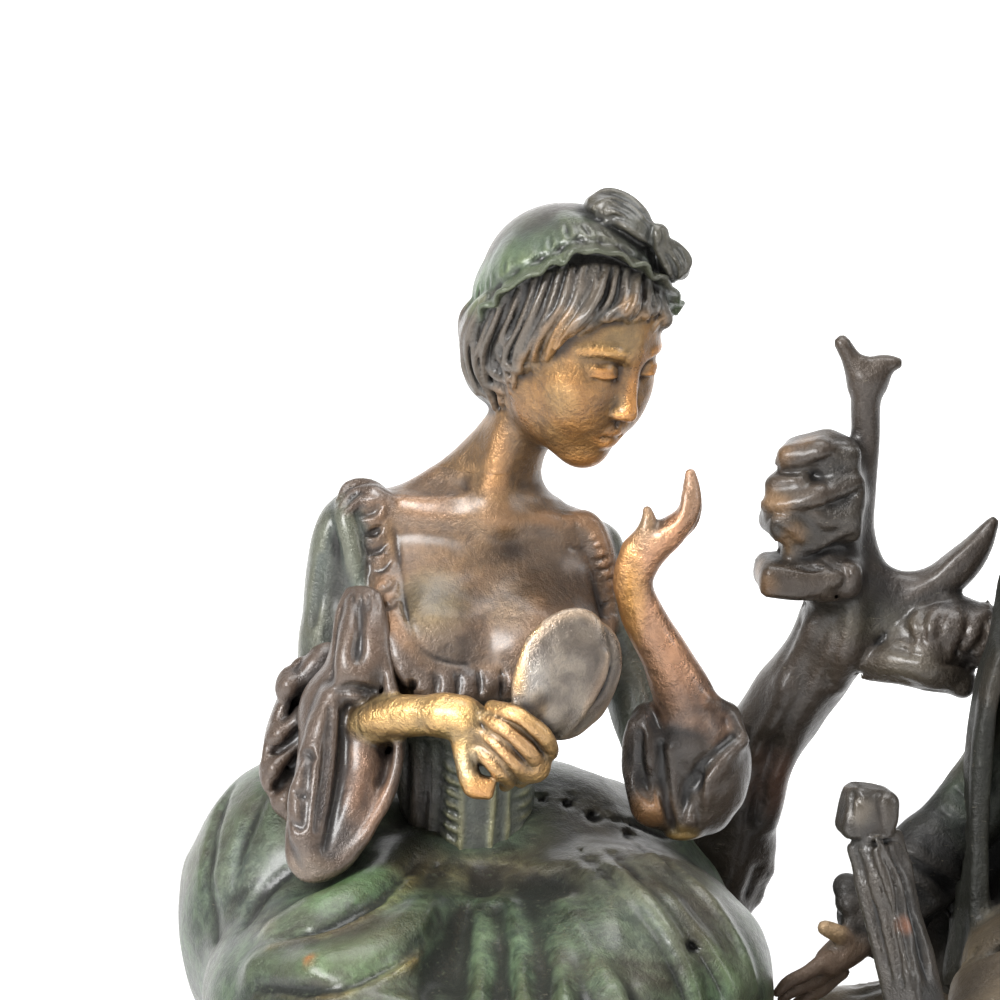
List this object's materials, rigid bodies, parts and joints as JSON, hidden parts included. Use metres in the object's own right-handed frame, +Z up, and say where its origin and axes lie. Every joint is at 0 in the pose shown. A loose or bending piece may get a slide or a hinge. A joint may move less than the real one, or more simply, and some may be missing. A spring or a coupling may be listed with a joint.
{
  "type": "bronze sculpture",
  "caption": "Bronze group on a low oval base: a seated lady with a hand mirror and a seated gallant with a lute, under a forked tree.",
  "frame": {"origin": "middle of the base's underside, on the ground", "axes": "+Z up, the figures' front faces -Y, +X is to the right of a viewer who stands before the front"},
  "size_m": [0.5315, 0.3773, 0.5061],
  "materials": {
    "patinated_bronze": "waxed bronze with green and brown patina"
  },
  "bodies": {
    "root": {"bronze_group": "patinated_bronze"}
  },
  "joints": []
}
